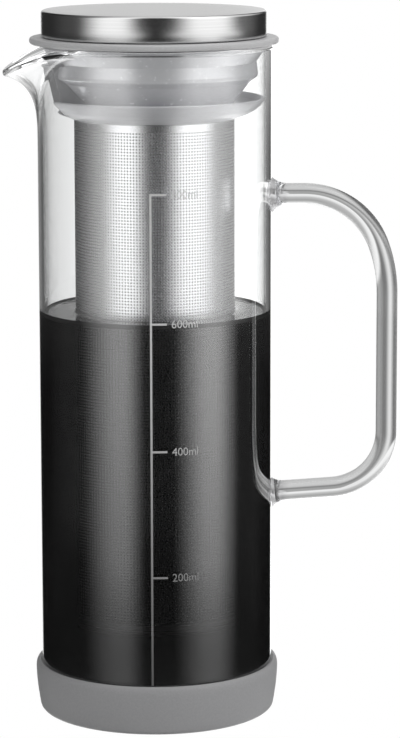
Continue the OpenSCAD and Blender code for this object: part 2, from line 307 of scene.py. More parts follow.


# steel sheet with rows of fine holes; the holes are drawn by the material, and their dark colour is
# painted shade for the dim inside seen through them
def meshMaterial(name, look):
    mat, tree, shader = newMaterial(name)
    setInputs(shader, Metallic=1.0)
    co = useGroup(tree, roundCo)
    around = timesNode(tree, co.outputs["Angle"], look["radius"] / look["pitch"])
    up = mathNode(tree, "DIVIDE", co.outputs["Height"], look["pitch"])
    dx, dy = [mathNode(tree, "SUBTRACT", mathNode(tree, "FRACT", v), 0.5) for v in (around, up)]
    away = mathNode(tree, "SQRT", sumNode(tree, timesNode(tree, dx, dx), timesNode(tree, dy, dy)))
    hole = smoothRange(tree, away, look["hole"] - look["holeEdge"], look["hole"] + look["holeEdge"],
                       1.0, 0.0)
    hole = timesNode(tree, hole, windowNode(tree, co.outputs["Height"], *look["zone"]))
    # the holes take the dark colour: painted shade
    tree.links.new(mixColor(tree, hole, look["base"], look["dark"]), shader.inputs["Base Color"])
    rough = mathNode(tree, "MULTIPLY_ADD", hole, look["holeRough"], look["rough"])
    tree.links.new(rough, shader.inputs["Roughness"])
    bumpOn(tree, shader, mathNode(tree, "SUBTRACT", 1.0, hole), look["bump"])
    return mat


# moulded plastic that changes with height; shade is a painted shadow that darkens a strip of its
# front, at the neck under the gasket
def plasticMaterial(name, look):
    mat, tree, shader = newMaterial(name)
    setInputs(shader, IOR=1.49, Specular_IOR_Level=look["shine"], Coat_Weight=look["coat"],
              Coat_Roughness=0.25)
    co = useGroup(tree, roundCo)
    height = co.outputs["Height"]
    metal = smoothRange(tree, height, *look["fromTo"], look["metalLow"], look["metalHigh"])
    tree.links.new(metal, shader.inputs["Metallic"])
    color = mixColor(tree, smoothRange(tree, height, *look["fromTo"]), look["low"], look["high"])
    # painted shadow: the front of the neck turns dark above a height, where the gasket shades it
    if "shade" in look:
        front = mathNode(tree, "ABSOLUTE", sumNode(tree, co.outputs["Angle"], pi / 2))
        near = smoothRange(tree, front, *look["shadeTurn"], 1.0, 0.0)
        paintedShadowBand = timesNode(tree, near, smoothRange(tree, height, *look["shadeZ"]))
        color = mixColor(tree, paintedShadowBand, color, look["shade"])
    grainOn(tree, shader, color, look["rough"], Scale=700.0, Low=0.97, High=1.02, Bump=0.05)
    return mat


# print painted darker towards the bottom: the fade from high to low is painted shade, as less light
# reaches the lower marks
def printMaterial(name, look):
    mat, tree, shader = newMaterial(name)
    setInputs(shader, Roughness=look["rough"])
    up = smoothRange(tree, useGroup(tree, roundCo).outputs["Height"], *look["fromTo"])
    grain = useGroup(tree, fineGrain, Scale=2500.0, Low=0.93, High=1.05, Bump=0.02)
    tintBase(tree, shader, mixColor(tree, up, look["low"], look["high"]), grain.outputs["Value"])
    return mat


glassMat = clearGlass("clearGlass", looks["glass"])
handleMat = clearGlass("handleGlass", looks["handle"])
brewMat = brewMaterial("coldBrewLiquid", looks["brew"])
filmMat = siliconeMaterial("brewFilm", looks["film"])
sleeveMat = siliconeMaterial("greySilicone", looks["sleeve"])
gasketMat = siliconeMaterial("gasketSilicone", looks["gasket"])
collarMat = siliconeMaterial("collarSilicone", looks["collar"])
capMat = steelMaterial("polishedSteel", looks["cap"])
smoothMat = steelMaterial("filterRimSteel", looks["smooth"])
meshMat = meshMaterial("finePerforatedSteel", looks["mesh"])
coreMat = plasticMaterial("clearGreyPlastic", looks["core"])
panelMat = plasticMaterial("panelPlastic", looks["panel"])
inkMat = printMaterial("scalePrint", looks["ink"])
print("materials made")


# ---------- mesh helpers ----------
def finishMesh(name, bm, mat, sharp=35.0):
    bmesh.ops.recalc_face_normals(bm, faces=bm.faces)
    limit = radians(sharp)
    for f in bm.faces:
        f.smooth = True
    for e in bm.edges:
        if len(e.link_faces) == 2:
            e.smooth = e.calc_face_angle(0.0) < limit
    me = bpy.data.meshes.new(name)
    bm.to_mesh(me)
    bm.free()
    me.materials.append(mat)
    obj = bpy.data.objects.new(name, me)
    scene.collection.objects.link(obj)
    return obj


# rings of points joined by quads; a ring of one point is a pole, and the ends may join or be capped
def loftRings(name, rings, mat, closeLoop=False, caps=False, sharp=35.0):
    bm = bmesh.new()
    rows = [[bm.verts.new(Vector(p) * MM) for p in ring] for ring in rings]
    pairs = list(zip(rows[:-1], rows[1:]))
    if closeLoop:
        pairs.append((rows[-1], rows[0]))
    for a, b in pairs:
        n = max(len(a), len(b))
        for i in range(n):
            j = (i + 1) % n
            if len(a) == 1:
                bm.faces.new((a[0], b[j], b[i]))
            elif len(b) == 1:
                bm.faces.new((a[i], a[j], b[0]))
            else:
                bm.faces.new((a[i], a[j], b[j], b[i]))
    if caps:
        bm.faces.new(rows[0])
        bm.faces.new(list(reversed(rows[-1])))
        bmesh.ops.remove_doubles(bm, verts=bm.verts, dist=1e-6)
    return finishMesh(name, bm, mat, sharp)


def roundRing(r, z, steps):
    if r < 1e-6:
        return [(0, 0, z)]
    return [(r * cos(2 * pi * i / steps), r * sin(2 * pi * i / steps), z) for i in range(steps)]


def lathe(name, profile, mat, steps=200, closed=False, sharp=35.0):
    rings = [roundRing(r, z, steps) for r, z in profile]
    return loftRings(name, rings, mat, closeLoop=closed, sharp=sharp)


# arc of points round (x, z) from angle a to angle b, in degrees
def arc(x, z, r, a, b, n):
    return [(x + r * cos(radians(a + (b - a) * i / n)), z + r * sin(radians(a + (b - a) * i / n)))
            for i in range(n + 1)]


# profile with its corners rounded: each item is (r, z, radius)
def rounded(items, n, closed=True):
    pts = []
    count = len(items)
    maxShare = 0.45
    for i, (x, z, rad) in enumerate(items):
        if rad <= 0 or (not closed and i in (0, count - 1)):
            pts.append((x, z))
            continue
        p = Vector((x, z))
        a = Vector(items[i - 1][:2]) - p
        b = Vector(items[(i + 1) % count][:2]) - p
        cut = min(rad / tan(a.angle(b) / 2), maxShare * a.length, maxShare * b.length)
        p0 = p + a.normalized() * cut
        p1 = p + b.normalized() * cut
        for k in range(n + 1):
            t = k / n
            q = p0 * (1 - t) ** 2 + p * 2 * t * (1 - t) + p1 * t * t
            pts.append((q.x, q.y))
    return pts


# the dome pushed up into the bottom, from the axis out
def puntArc(z0, n):
    r, h = glass["puntR"], glass["puntH"]
    big = (r ** 2 + h ** 2) / (2 * h)
    return [(r * i / n, z0 + h - big + sqrt(big * big - (r * i / n) ** 2)) for i in range(n + 1)]


def place(obj, body, node):
    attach(obj, body)
    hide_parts(node)


# ---------- carafe glass with its pulled spout ----------
# the spout is a circle r round its own axis at -x, drawn in by wide at the flare's foot, tall under
# the rim; seen from the side, the rim falls along a circle curveR from curveX on
spout = dict(x=26.0, r=25.8, wide=11.7, tall=12.2, endDeg=75, blend=9.0, footBlend=2.0, roll=1.2,
             curveR=46.3, curveX=25.1, backRise=0.2, lipBlend=0.8, outerEdge=2.4, innerEdge=1.0,
             innerWide=0.1, innerFoot=0.05, steps=288, arcRows=16,
             wallRows=(60, 110, 160, 200, 205))


def smoothMax(a, b, k):
    h = max(k - abs(a - b), 0.0) / k
    return max(a, b) + h * h * k / 4


# distance from the carafe's axis to a circle of radius rho round the spout's axis
def spoutReach(t, rho):
    c, s = -cos(t), sin(t)
    inside = rho * rho - (spout["x"] * s) ** 2
    if inside <= 0 or c <= 0:
        return 0.0
    return spout["x"] * c + sqrt(inside)


def lipTop(x):
    s = spout
    top = glass["rimZ"] + s["backRise"]
    if x >= -s["curveX"]:
        return top
    return top - s["curveR"] + sqrt(s["curveR"] ** 2 - (x + s["curveX"]) ** 2)


def glassRings():
    g, s = glass, spout
    steps, rows = s["steps"], s["arcRows"]
    endPhi = radians(s["endDeg"])
    angles = [2 * pi * i / steps for i in range(steps)]
    # rim reach and height for every angle
    reach = [smoothMax(g["outer"], spoutReach(t, s["r"]), s["blend"]) for t in angles]
    top = [-smoothMax(-lipTop(r * cos(t)), -g["rimZ"], s["lipBlend"]) for t, r in zip(angles, reach)]

    def ring(points):
        return [(r * cos(t), r * sin(t), z) for t, (r, z) in zip(angles, points)]

    # how far down the flare a row lies: f runs up it from 0 to 1
    def fall(f):
        return 1 - sin(endPhi * f) / sin(endPhi)

    def flareReach(i, off, wide, f):
        phi = endPhi * f
        out = (cos(phi) - cos(endPhi)) / (1 - cos(endPhi))
        blend = s["footBlend"] + (s["blend"] - s["footBlend"]) * sin(phi)
        r = smoothMax(g["outer"] - off, spoutReach(angles[i], s["r"] - off - wide * out), blend)
        return min(r, reach[i] - off)

    # a row of the wall, off inside the outer face; its upper end follows the rim line, edge under it
    def flareRow(off, wide, f, edge, foot):
        return ring([(flareReach(i, off, wide, f), top[i] - edge + (edge - foot) * fall(f))
                     for i in range(steps)])

    # how far the wall leans out under the rim, from 0 on the cylinder to 1 on the spout
    last = (rows - 1) / rows
    lean = [min((reach[i] - flareReach(i, 0, s["wide"], last)) / s["roll"], 1.0)
            for i in range(steps)]

    # the edge rolls over from the underside to the rim
    def rollRow(a):
        roll = s["roll"]
        rollZ = s["outerEdge"] + s["tall"] * fall(last) - roll
        return ring([(reach[i] - roll * lean[i] * (1 - cos(a)), top[i] - rollZ + roll * sin(a))
                     for i in range(steps)])

    # the rim's bead, half a turn from outside to inside
    def beadRow(a):
        points = []
        for i in range(steps):
            flare = g["rimFlare"] * (1 - lean[i])
            half = (g["wall"] + flare) / 2
            points.append((reach[i] + flare - half + half * cos(a), top[i] - half + half * sin(a)))
        return ring(points)

    foot = s["outerEdge"] + s["tall"]
    inner = g["footRound"] - g["wall"]
    outside = puntArc(g["lowZ"], 10)
    outside += arc(g["outer"] - g["footRound"], g["lowZ"] + g["footRound"], g["footRound"], -90, 0, 12)
    outside += [(g["outer"], z) for z in s["wallRows"]]
    inside = [(boreR, z) for z in reversed(s["wallRows"])]
    inside += arc(boreR - inner, g["floorZ"] + inner, inner, 0, -90, 10)
    inside += reversed(puntArc(g["floorZ"], 10))
    rings = [roundRing(r, z, steps) for r, z in outside]
    rings += [flareRow(0, s["wide"], k / rows, s["outerEdge"], foot) for k in range(rows)]
    rings += [rollRow(radians(a)) for a in range(-s["endDeg"], 1, 15)]
    rings += [beadRow(radians(a)) for a in range(10, 181, 17)]
    rings += [flareRow(g["wall"], s["wide"] + s["innerWide"], k / rows, s["innerEdge"],
                       foot + s["innerFoot"]) for k in reversed(range(rows))]
    return rings + [roundRing(r, z, steps) for r, z in inside]


glassObj = loftRings("carafeGlass", glassRings(), glassMat, sharp=60.0)
place(glassObj, "carafe", "carafe_glass")
print("glass made")

# ---------- handle ----------
# the upper bend has radius bendA for turnA degrees and then bendB, the lower one bendC; the lower
# run falls toward the glass by slope degrees, and both runs have their steps crowded at the welds
handle = dict(rod=3.6, grip=80.05, upZ=180.9, lowZ=77.8, bendA=27.0, bendB=50.0, bendC=20.0,
              turnA=70.0, slope=4.0, around=72, runSteps=36, crowd=1.6, gap=0.03,
              weldUp=dict(above=5.8, below=6.6, side=6.2, reach=6.0, power=2.4),
              weldLow=dict(above=5.4, below=5.4, side=5.4, reach=5.0, power=2.6))


def handlePath():
    h = handle
    turn = radians(90 - h["turnA"])
    ax = h["grip"] - h["bendA"] * cos(turn) - h["bendB"] * (1 - cos(turn))
    az = h["upZ"] - h["bendA"]
    bx, bz = h["grip"] - h["bendB"], az + (h["bendA"] - h["bendB"]) * sin(turn)
    cx, cz = h["grip"] - h["bendC"], h["lowZ"] + h["bendC"]
    wallX = glass["outer"]
    n = h["runSteps"]
    pts = [(wallX + (ax - wallX) * (i / n) ** h["crowd"], h["upZ"]) for i in range(n)]
    pts += arc(ax, az, h["bendA"], 90, 90 - h["turnA"], 20)
    pts += arc(bx, bz, h["bendB"], 90 - h["turnA"], 0, 10)[1:]
    pts += [(h["grip"], bz + (cz - bz) * i / 8) for i in range(1, 8)]
    pts += arc(cx, cz, h["bendC"], 0, -90 + h["slope"], 22)
    endX, endZ = pts[-1]
    for i in range(1, n + 1):
        x = endX + (wallX - endX) * (1 - (1 - i / n) ** h["crowd"])
        pts.append((x, endZ - (endX - x) * tan(radians(h["slope"]))))
    return pts


# the wall's outside at a distance y from the handle's plane
def wallAt(y):
    return sqrt(glass["outer"] ** 2 - y * y) + handle["gap"]


def handleRings():
    h = handle
    pts = handlePath()
    rings = []
    for i, (x, z) in enumerate(pts):
        a, b = pts[max(i - 1, 0)], pts[min(i + 1, len(pts) - 1)]
        along = Vector((b[0] - a[0], b[1] - a[1])).normalized()
        nrm = Vector((-along.y, along.x))
        upper = i < len(pts) / 2
        weld = h["weldUp"] if upper else h["weldLow"]
        away = x - glass["outer"]
        u = min(max(away / weld["reach"], 0.0), 1.0)
        flare = (1 - u) ** weld["power"]
        ring = []
        for k in range(h["around"]):
            w = 2 * pi * k / h["around"]
            upward = cos(w) if upper else -cos(w)
            tall = weld["above"] if upward > 0 else weld["below"]
            off = (h["rod"] + (tall - h["rod"]) * flare) * cos(w)
            y = (h["rod"] + (weld["side"] - h["rod"]) * flare) * sin(w)
            px = x + nrm.x * off
            # the ends follow the round wall
            if away < weld["reach"]:
                px = max(px + (wallAt(y) - glass["outer"]) * (1 - u), wallAt(y))
            ring.append((px, y, z + nrm.y * off))
        rings.append(ring)

    def endCap(ring, z):
        rows = [[(wallAt(p[1] * f), p[1] * f, z + (p[2] - z) * f) for p in ring] for f in (0.66, 0.33)]
        return rows + [[(wallAt(0), 0, z)]]

    upCap = endCap(rings[0], pts[0][1])
    lowCap = endCap(rings[-1], pts[-1][1])
    return list(reversed(upCap)) + rings + lowCap


handleObj = loftRings("carafeHandle", handleRings(), handleMat, sharp=75.0)
place(handleObj, "carafe", "carafe_handle")
print("handle made")

# ---------- base sleeve ----------
# heel points are (beyond foot, height), side points are (inside outer, height)
sleeve = dict(outer=42.35, foot=38.8, gap=0.02, innerZ=(16.9, 14),
              heel=((-2, 0.0), (0, 0.0), (0.9, 0.15), (1.5, 0.5), (1.95, 1.05), (2.15, 1.7)),
              side=((1.1, 3.4), (0.88, 5), (0.6, 6.8), (0.4, 8.5), (0.22, 10.4), (0.1, 12),
                    (0.03, 13.5), (0, 14.6), (0.05, 15.5), (0.2, 16.2), (0.5, 16.8), (0.95, 17.1),
                    (1.45, 17.2)))


def sleeveProfile():
    s, g = sleeve, glass
    pts = [(0, 0.0)] + [(s["foot"] + d, z) for d, z in s["heel"]]
    pts += [(s["outer"] - d, z) for d, z in s["side"]]
    pts += [(g["outer"] + s["gap"], z) for z in s["innerZ"]]
    pts += arc(g["outer"] - g["footRound"] + s["gap"], g["lowZ"] + g["footRound"], g["footRound"],
               0, -90, 10)
    return pts + [(midR, g["lowZ"]), (0, g["lowZ"])]


place(lathe("baseSleeve", sleeveProfile(), sleeveMat), "carafe", "base_sleeve")

# ---------- brew ----------
# the level climbs at the filter and at the glass: points are (away from the wall, under the top)
brew = dict(top=141.4, hole=27.62, poolTop=31.9, poolRound=(0.6, 0.5), midZ=80, overlap=0.04,
            holeRim=((0, 0.6), (0.2, 0.75), (0.9, 0.9), (2.38, 0.95)),
            wallRim=((2.2, 0.95), (1.2, 0.85), (0.5, 0.6), (0.12, 0.2), (0, 0), (0, 1.5)),
            filmIn=1.1, filmDown=1.6)


def brewProfile():
    b, g = brew, glass
    outR = boreR + b["overlap"]
    floor = g["floorZ"] - b["overlap"]
    inner = g["footRound"] - g["wall"]
    poolIn, poolUp = b["poolRound"]
    pts = [(0, b["poolTop"]), (midR, b["poolTop"]), (b["hole"] - poolIn, b["poolTop"]),
           (b["hole"], b["poolTop"] + poolUp), (b["hole"], b["midZ"])]
    pts += [(b["hole"] + d, b["top"] - h) for d, h in b["holeRim"]]
    pts += [(outR - d, b["top"] - h) for d, h in b["wallRim"]]
    pts += [(outR, b["midZ"])] + arc(outR - inner, floor + inner, inner, 0, -90, 10)
    return pts + list(reversed(puntArc(floor, 8)))


# the rim of the brew, where it climbs the glass, has a material of its own
def brewPiece():
    obj = lathe("coldBrew", brewProfile(), brewMat)
    obj.data.materials.append(filmMat)
    for face in obj.data.polygons:
        c = face.center / MM
        if hypot(c.x, c.y) > boreR - brew["filmIn"] and c.z > brew["top"] - brew["filmDown"]:
            face.material_index = 1
    return obj


place(brewPiece(), "carafe", "cold_brew")
print("sleeve and brew made")

# ---------- scale ----------
# angles are in degrees from +X; the words are set at a raw size, 1 thick, then bent round the glass
scaleLook = dict(lineW=0.7, lineAt=-91.8, seam=0.01, tick=7.6, low=17.5, lift=0.06, thick=0.07,
                 marks=(55.05, 98.45, 141.84, 185.24), markStep=200, textH=2.75, textFrom=-81.4,
                 textTo=-68.6, rawSize=10.0, rawSplit=1.2)


# a curved patch of print between two angles and two heights
def printPatch(bm, a0, a1, z0, z1, n):
    r0 = glass["outer"] + scaleLook["lift"]
    r1 = r0 + scaleLook["thick"]
    cols = []
    for i in range(n + 1):
        a = radians(a0 + (a1 - a0) * i / n)
        cols.append([bm.verts.new(Vector((r * cos(a), r * sin(a), z)) * MM)
                     for r, z in ((r0, z0), (r1, z0), (r1, z1), (r0, z1))])
    for p, q in zip(cols[:-1], cols[1:]):
        for k in range(4):
            m = (k + 1) % 4
            bm.faces.new((p[k], q[k], q[m], p[m]))
    bm.faces.new(cols[0])
    bm.faces.new(list(reversed(cols[-1])))


def rawWords(words):
    curve = bpy.data.curves.new("label", "FONT")
    curve.body = words
    curve.size = scaleLook["rawSize"]
    curve.extrude = 0.5
    curve.resolution_u = 3
    obj = bpy.data.objects.new("label", curve)
    scene.collection.objects.link(obj)
    bpy.context.view_layer.update()
    me = bpy.data.meshes.new_from_object(obj.evaluated_get(bpy.context.evaluated_depsgraph_get()))
    bpy.data.objects.remove(obj)
    bpy.data.curves.remove(curve)
    return me


def addLabel(bm, words, z):
    s = scaleLook
    me = rawWords(words)
    part = bmesh.new()
    part.from_mesh(me)
    xs = [v.co.x for v in part.verts]
    ys = [v.co.y for v in part.verts]
    left, right, low, high = min(xs), max(xs), min(ys), max(ys)
    wideEdges = [e for e in part.edges if abs(e.verts[0].co.x - e.verts[1].co.x) > s["rawSplit"]]
    bmesh.ops.subdivide_edges(part, edges=wideEdges, cuts=1)
    for v in part.verts:
        a = radians(s["textFrom"] + (s["textTo"] - s["textFrom"]) * (v.co.x - left) / (right - left))
        h = z - s["textH"] / 2 + s["textH"] * (v.co.y - low) / (high - low)
        r = glass["outer"] + s["lift"] + s["thick"] * v.co.z
        v.co = Vector((r * cos(a), r * sin(a), h)) * MM
    part.to_mesh(me)
    part.free()
    bm.from_mesh(me)
    bpy.data.meshes.remove(me)


def scalePiece():
    s = scaleLook
    bm = bmesh.new()
    lineDeg = degrees(s["lineW"] / glass["outer"])
    half = s["lineW"] / 2
    printPatch(bm, s["lineAt"], s["lineAt"] + lineDeg, s["low"], s["marks"][-1] + half, 2)
    for z in s["marks"]:
        printPatch(bm, s["lineAt"] + lineDeg + s["seam"], s["lineAt"] + lineDeg / 2 + s["tick"],
                   z - half, z + half, 8)
    for i, z in enumerate(s["marks"]):
        addLabel(bm, str(s["markStep"] * (i + 1)) + "ml", z)
    return finishMesh("measuringScale", bm, inkMat, sharp=40.0)


place(scalePiece(), "carafe", "measuring_scale")
print("scale made")

# ---------- filter ----------
# the collar's wall is cut down over notch to each side of the spout's line, to notchFloor above the
# collar's low edge; keep is the share of height and of reach that stays there
filt = dict(r=27.5, wall=0.4, low=32.0, cup=4.0, cupFloor=0.8, midZ=120, top=209.4,
            hoopGap=0.02, hoopLow=207.0, hoopR=28.0, collarLow=207.4, collarSteps=240,
            notch=17.5, notchEdge=1.2, notchSlope=1.6, notchFloor=1.6, keepHeight=0.08,
            notchFrom=32.5, notchR=32.6, keepReach=0.05)


def tubeProfile():
    f = filt
    inR, foot = f["r"] - f["wall"], f["low"] + f["cup"]
    return rounded([(f["r"], foot, 0.1), (f["r"], f["midZ"], 0), (f["r"], f["top"], 0.15),
                    (inR, f["top"], 0.15), (inR, f["midZ"], 0), (inR, foot, 0.1)], n=3)


def cupProfile():
    f = filt
    inR, top, floor = f["r"] - f["wall"], f["low"] + f["cup"], f["low"] + f["cupFloor"]
    return rounded([(0, f["low"], 0), (f["r"], f["low"], 1.4), (f["r"], top, 0.12), (inR, top, 0.12),
                    (inR, floor, 1.0), (0, floor, 0)], n=6, closed=False)


def hoopProfile():
    f = filt
    inR = f["r"] + f["hoopGap"]
    return rounded([(inR, f["hoopLow"], 0.1), (f["hoopR"], f["hoopLow"], 0.15),
                    (f["hoopR"], f["top"], 0.15), (inR, f["top"], 0.1)], n=3)


def collarProfile():
    inR, low, top = filt["hoopR"], filt["collarLow"], filt["top"]
    return rounded([(inR, low, 0.1), (28.5, low, 0.2), (32.55, 209.0, 2.0), (34.85, 210.4, 1.2),
                    (36.35, 211.8, 1.2), (37.55, 213.4, 1.0), (37.95, 214.1, 0.2),
                    (37.75, 214.3, 0.2), (36.65, 214.3, 0.3), (35.05, 212.4, 1.2),
                    (33.25, 211.0, 1.2), (28.4, top, 0.6), (inR, top, 0.2)], n=4)


# the wall drops to the notch's floor over a short rounded slope
def collarPiece():
    f = filt
    cutZ = f["collarLow"] + f["notchFloor"]
    rings = []
    for r, z in collarProfile():
        row = []
        for x, y, h in roundRing(r, z, f["collarSteps"]):
            if x < 0 and z > cutZ:
                w = min(max((f["notch"] + f["notchEdge"] - abs(y)) / f["notchSlope"], 0.0), 1.0)
                w = w * w * (3 - 2 * w)
                h += (cutZ + (z - cutZ) * f["keepHeight"] - z) * w
                if r > f["notchFrom"]:
                    x *= 1 + ((f["notchR"] + (r - f["notchR"]) * f["keepReach"]) / r - 1) * w
            row.append((x, y, h))
        rings.append(row)
    return loftRings("filterCollar", rings, collarMat, closeLoop=True, sharp=50.0)


tubeObj = lathe("filterTube", tubeProfile(), meshMat, closed=True)
place(tubeObj, "filter", "filter_tube")
place(lathe("filterCup", cupProfile(), smoothMat), "filter", "filter_cup")
hoopObj = lathe("filterHoop", hoopProfile(), smoothMat, steps=160, closed=True)
place(hoopObj, "filter", "filter_hoop")
place(collarPiece(), "filter", "filter_collar")
print("filter made")

# ---------- lid ----------
lid = dict(gasketZ=232.6, gasketT=2.2, gasketR=42.5, gasketIn=34.4, capZ=235.1, topZ=243.9,
           capR=38.5, capT=0.8, skirtH=3.9, lipIn=0.25, lipOut=0.3, edgeR=0.95, underR=0.7,
           topRings=(30, 15), coreLow=208.0, coreFloor=210, shoulder=232.2, flange=37.95,
           neckR=34.05, neckIn=31.85)


def gasketProfile():
    inR, outR, low = lid["gasketIn"], lid["gasketR"], lid["gasketZ"]
    top = low + lid["gasketT"]
    return rounded([(inR, low, 0.3), (outR, low, 1.05), (outR, top, 1.05), (inR, top, 0.3)], n=8)


# the underside from the middle out, down inside the skirt, round its lower edge and over the top
def capProfile():
    r, low, top, t = lid["capR"], lid["capZ"], lid["topZ"], lid["capT"]
    skirt = low + lid["skirtH"]
    lipIn, lipOut, edge, under = lid["lipIn"], lid["lipOut"], lid["edgeR"], lid["underR"]
    pts = [(0, top - t), (lid["topRings"][1], top - t)]
    pts += arc(r - t - under, top - t - under, under, 90, 0, 5)
    pts += [(r - t, skirt)] + arc(r - t + lipIn, low + lipIn, lipIn, 180, 270, 4)
    pts += arc(r - lipOut, low + lipOut, lipOut, 270, 360, 4) + [(r, skirt)]
    pts += arc(r - edge, top - edge, edge, 0, 90, 10)
    pts += [(x, top) for x in lid["topRings"]] + [(0, top)]
    return list(reversed(pts))


def coreProfile():
    low, floor, shoulder, top = lid["coreLow"], lid["coreFloor"], lid["shoulder"], lid["capZ"]
    flange, neckR, neckIn = lid["flange"], lid["neckR"], lid["neckIn"]
    side = [(midR, low, 0), (26.4, low, 0.4), (26.4, 210.8, 1.0), (27.2, 212.6, 1.5),
            (29.6, 215.6, 2.0), (32.8, 219.8, 1.5), (35.25, 221.6, 0.8), (35.4, 222.8, 0.7),
            (34.95, 226.6, 0.4), (35.4, 227.3, 0.6), (37.0, 229.8, 2.0), (flange, 231.3, 0.4),
            (flange, shoulder, 0.1), (neckR, shoulder, 0.1), (neckR, top, 0.1), (neckIn, top, 0.1),
            (neckIn, 222, 1.0), (29, 219, 2), (24.4, 212, 1.0), (24.4, floor, 0.5),
            (midR, floor, 0)]
    return [(0, low)] + rounded(side, n=5, closed=False) + [(0, floor)]


# the panel shuts the spout between the core and the glass, and its lip lies on top
panel = dict(low=212.7, high=226.0, half=16.0, corner=0.8, rows=14, gap=0.25, footR=34.3, lean=3.0)
panelLip = dict(low=226.02, high=226.9, half=19.0, corner=1.2, rows=2, inR=34.7, outR=37.95,
                crown=0.12)
# radius of the core's side at some heights, for the panel's inside
coreSide = ((208.0, 26.4), (210.8, 26.4), (212.6, 27.2), (214, 28.4), (215.6, 29.6), (217.1, 30.9),
            (218.5, 31.9), (219.8, 32.8), (221, 34.3), (221.9, 35.3), (222.6, 35.4), (225.4, 35.0),
            (226.7, 34.9), (227.2, 35.3))


def coreAt(z):
    for (za, ra), (zb, rb) in zip(coreSide[:-1], coreSide[1:]):
        if za <= z <= zb:
            return ra + (rb - ra) * (z - za) / (zb - za)


# rings of a curved plate with rounded upright edges; rIn takes a height, rOut a share of the height
def plateRings(p, rIn, rOut, steps=24, cornerSteps=4):
    half, rad = p["half"], p["corner"]
    rings = []
    for j in range(p["rows"] + 1):
        f = j / p["rows"]
        z = p["low"] + (p["high"] - p["low"]) * f
        ro, ri = rOut(f), rIn(z)
        turn = asin(half / ro) - rad / ro
        outer = [pi + turn * (2 * i / steps - 1) for i in range(steps + 1)]
        corner = []
        for k in range(1, cornerSteps + 1):
            w = pi / 2 * k / cornerSteps
            corner.append((rad * (1 - cos(w)) - sqrt(ro * ro - (half - rad) ** 2),
                           half - rad + rad * sin(w)))
        inner = [half * (2 * i / steps - 1) for i in range(steps + 1)]
        rings.append([(ro * cos(a), ro * sin(a), z) for a in outer]
                     + [(x, -y, z) for x, y in corner]
                     + [(-sqrt(ri * ri - y * y), y, z) for y in inner]
                     + [(x, y, z) for x, y in reversed(corner)])
    return rings


def panelPiece():
    rings = plateRings(panel, lambda z: coreAt(z) - panel["gap"],
                       lambda f: panel["footR"] + panel["lean"] * f)
    return loftRings("pourPanel", rings, panelMat, caps=True, sharp=40.0)


def panelLipPiece():
    rings = plateRings(panelLip, lambda z: panelLip["inR"],
                       lambda f: panelLip["outR"] - panelLip["crown"] * abs(2 * f - 1))
    return loftRings("panelLip", rings, panelMat, caps=True, sharp=40.0)


gasketObj = lathe("lidGasket", gasketProfile(), gasketMat, closed=True)
place(gasketObj, "gasket", "lid_gasket")
capObj = lathe("lidCap", capProfile(), capMat, steps=240, sharp=50.0)
place(capObj, "lid", "lid_cap")
coreObj = lathe("lidCore", coreProfile(), coreMat, sharp=45.0)
place(coreObj, "lid", "lid_core")
place(panelPiece(), "lid", "pour_panel")
place(panelLipPiece(), "lid", "panel_lip")
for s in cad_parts["lid_insert"].material_slots:
    s.material = coreMat
print("lid made")

# ---------- floor and light ----------
# radius and drop are in metres
floorLook = dict(radius=0.2, drop=0.0002, base=(0.82, 0.82, 0.82, 1), rough=0.9, glow=1.0)


# paper that the camera sees as plain white
def floorMaterial():
    mat, tree, shader = newMaterial("floorPaper")
    grainOn(tree, shader, floorLook["base"], floorLook["rough"], Scale=300.0, Low=0.98, High=1.0,
            Bump=0.01)
    path = tree.nodes.new("ShaderNodeLightPath")
    glow = tree.nodes.new("ShaderNodeEmission")
    setInputs(glow, Color=white, Strength=floorLook["glow"])
    mixSurface(tree, path.outputs["Is Camera Ray"], shader, glow)
    return mat


def floorPiece():
    bm = bmesh.new()
    bmesh.ops.create_circle(bm, cap_ends=True, segments=96, radius=floorLook["radius"])
    obj = finishMesh("floor", bm, floorMaterial())
    obj.location.z = -floorLook["drop"]
    obj.visible_glossy = False
    obj.visible_transmission = False


floorPiece()

# the studio by direction: two soft boxes in front, a white sheet behind, dark between. Angles are in
# degrees, about Z from -Y towards +X, or up. The boxes and their tails are (from, its soft edge, to,
# its soft edge, level), and there is a row of them for each height. Other fours are windows (from,
# full, still full, to), pairs are (from, to) and Levels the light at both ends. What ends in X or Y
# is a share of the direction
toDeg = 180 / pi
studio = dict(
    high=dict(left=(-66.0, 17.0, -22.0, 11.0, 1.45), right=(31.0, 15.0, 86.0, 13.0, 1.45), tail=1.0),
    middle=dict(left=(-69.0, 17.0, -11.0, 11.0, 1.45), right=(17.0, 13.0, 97.0, 13.0, 1.4), tail=1.0),
    low=dict(left=(-58.0, 22.0, -20.0, 12.0, 1.2), right=(36.0, 20.0, 77.0, 17.0, 1.6), tail=0.3),
    middleHigh=(-6.0, -4.6), lowMiddle=(-9.2, -8.8),
    leftTail=(-112.0, 18.0, -70.0, 14.0, 0.05), rightTail=(86.0, 12.0, 122.0, 16.0, 0.14),
    fade=(-18.0, -8.0), fadeLevel=0.25, dark=(-10.5, -8.5), darkLevels=(0.008, 0.03),
    back=(161.0, 169.0), backX=(0.0, 0.09), backLevels=(1.0, 1.75), backUp=(-1.0, 7.0), backHigh=0.62,
    under=(-72.0, -56.0, -34.0, -18.0), underSide=(70.0, 95.0, 174.0, 180.0), underLevel=1.7,
    underAll=0.35, over=(35.0, 75.0), overLevel=0.55,
    fill=(20.0, 70.0, 120.0, 160.0), fillUp=(4.0, 14.0, 50.0, 70.0), fillLevel=0.75,
    straightX=(-0.1, -0.078, 0.012, 0.016), straightUp=(-8.0, -6.5, -2.2, -1.0), straightLevel=0.85,
    rodCentre=-9.5, rodTurn=(3.0, 6.0), rodPasses=3.5, deepLevel=0.16, frontY=(0.0, 0.3),
    bendX=(-0.35, -0.12), bendUp=(-30.0, -16.0), bendLevel=0.07,
    innerX=(0.08, 0.3), innerUp=(0.0, 15.0), innerLevel=0.45)
